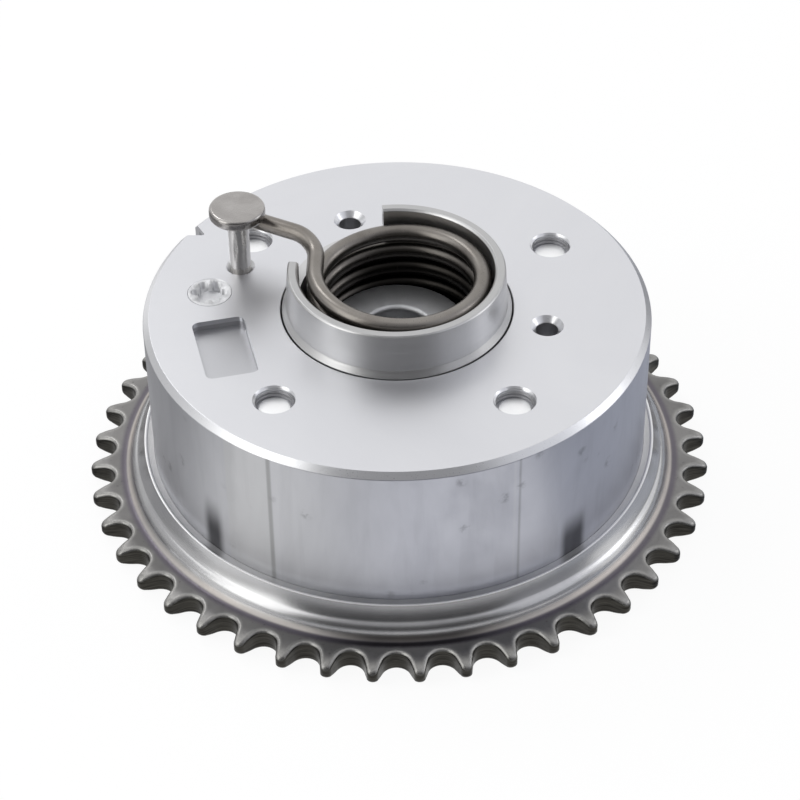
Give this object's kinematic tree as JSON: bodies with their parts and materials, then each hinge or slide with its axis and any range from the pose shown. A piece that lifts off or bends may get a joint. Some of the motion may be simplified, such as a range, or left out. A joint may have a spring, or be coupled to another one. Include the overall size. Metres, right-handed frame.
{
  "type": "cam phaser",
  "caption": "Vane-type camshaft phaser with a chain sprocket at its foot, a round vane housing, a slotted spring sleeve and a bias spring held by a headed pin.",
  "frame": {"origin": "on the camshaft axis, in the plane of the sprocket's rear face", "axes": "+Z along the camshaft axis from the rear face towards the spring sleeve; the spring pin lies towards -X and +Y"},
  "size_m": [0.1158, 0.1158, 0.0516],
  "materials": {
    "sprocket_steel": "sintered steel, dark and slightly rough, temper-tinted beside the lip",
    "housing_steel": "satin face, polished wall",
    "bolt_steel": "bright",
    "seal_rubber": "matte",
    "seat_steel": "satin",
    "pin_steel": "bright, brushed head",
    "spring_steel": "dark oiled wire",
    "rotor_steel": "machined sintered steel",
    "sleeve_steel": "turned satin",
    "seal_plastic": "matte"
  },
  "bodies": {
    "stator": {"sprocket_plate": "sprocket_steel", "housing": "housing_steel", "cover_bolts": "bolt_steel", "cover_seal": "seal_rubber", "locating_dowel": "bolt_steel", "lock_seat": "seat_steel", "spring_pin": "pin_steel", "bias_spring": "spring_steel", "lug_seal_1": "seal_plastic", "lug_seal_2": "seal_plastic", "lug_seal_3": "seal_plastic", "lug_seal_4": "seal_plastic", "lug_seal_spring_1": "spring_steel", "lug_seal_spring_2": "spring_steel", "lug_seal_spring_3": "spring_steel", "lug_seal_spring_4": "spring_steel"},
    "rotor": {"rotor": "rotor_steel", "spring_sleeve": "sleeve_steel", "lock_spring": "spring_steel", "lock_cap": "seat_steel", "vane_seal_1": "seal_plastic", "vane_seal_2": "seal_plastic", "vane_seal_3": "seal_plastic", "vane_seal_4": "seal_plastic", "vane_seal_spring_1": "spring_steel", "vane_seal_spring_2": "spring_steel", "vane_seal_spring_3": "spring_steel", "vane_seal_spring_4": "spring_steel"},
    "lock_pin": {"lock_pin": "pin_steel"}
  },
  "joints": [
    {"name": "rotor_turn", "type": "hinge", "parent": "stator", "child": "rotor", "pos_m": [0, 0, 0], "axis": [0, 0, 1], "range_deg": [0, 28], "stiffness_Nm_per_rad": 0.8, "springref_deg": -68.75, "deforming": ["bias_spring"]},
    {"name": "lock_pin_slide", "type": "slide", "parent": "rotor", "child": "lock_pin", "axis": [0, 0, -1], "range_m": [0, 0.0025], "stiffness_N_per_m": 800, "springref_m": -0.003, "deforming": ["lock_spring"]}
  ]
}
